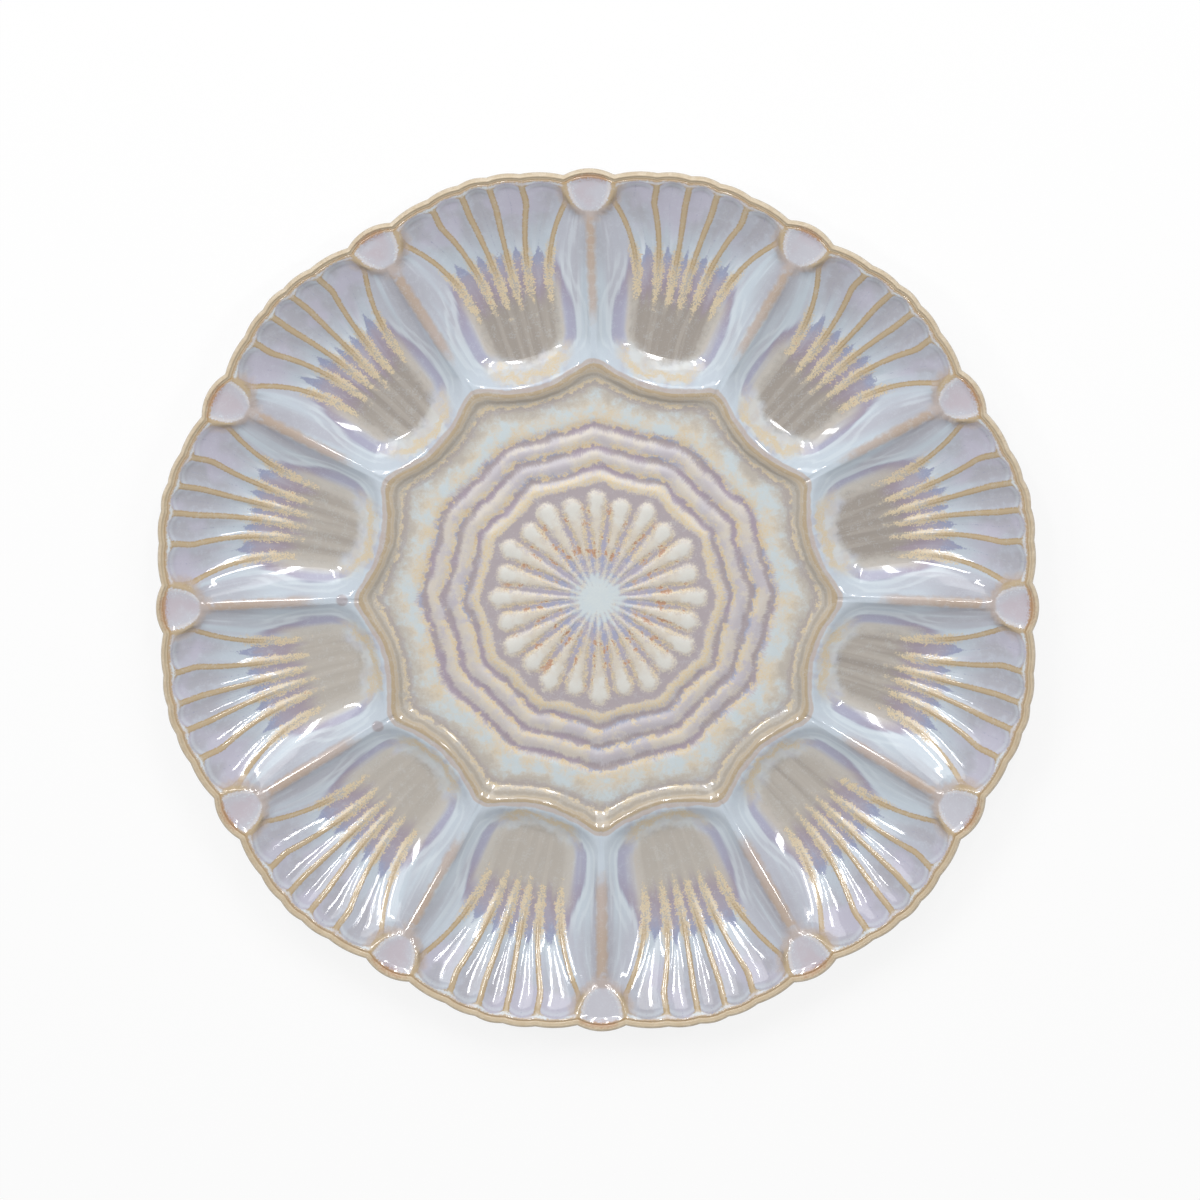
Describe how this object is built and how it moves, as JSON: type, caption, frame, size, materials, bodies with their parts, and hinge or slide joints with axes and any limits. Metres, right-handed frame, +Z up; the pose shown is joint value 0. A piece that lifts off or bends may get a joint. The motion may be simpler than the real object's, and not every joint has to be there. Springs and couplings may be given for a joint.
{
  "type": "appetizer dish",
  "caption": "Round stoneware appetizer dish with fluted shell-shaped egg wells round a shallow centre well with a rosette, in pearl glaze, on a foot ring.",
  "frame": {"origin": "middle of the foot ring's resting face, on the table", "axes": "+Z up along the dish's axis of symmetry; +X through a ridge between two egg wells"},
  "size_m": [0.3174, 0.3174, 0.03],
  "materials": {
    "stoneware": "fired, bare at the lip",
    "bare_foot": "fired, unglazed",
    "pearl_glaze": "glossy pearl",
    "under_glaze": "glossy"
  },
  "bodies": {
    "root": {"stoneware_body": "stoneware", "foot_ring": "bare_foot", "upper_glaze": "pearl_glaze", "underside_glaze": "under_glaze", "foot_well_glaze": "under_glaze"}
  },
  "joints": []
}
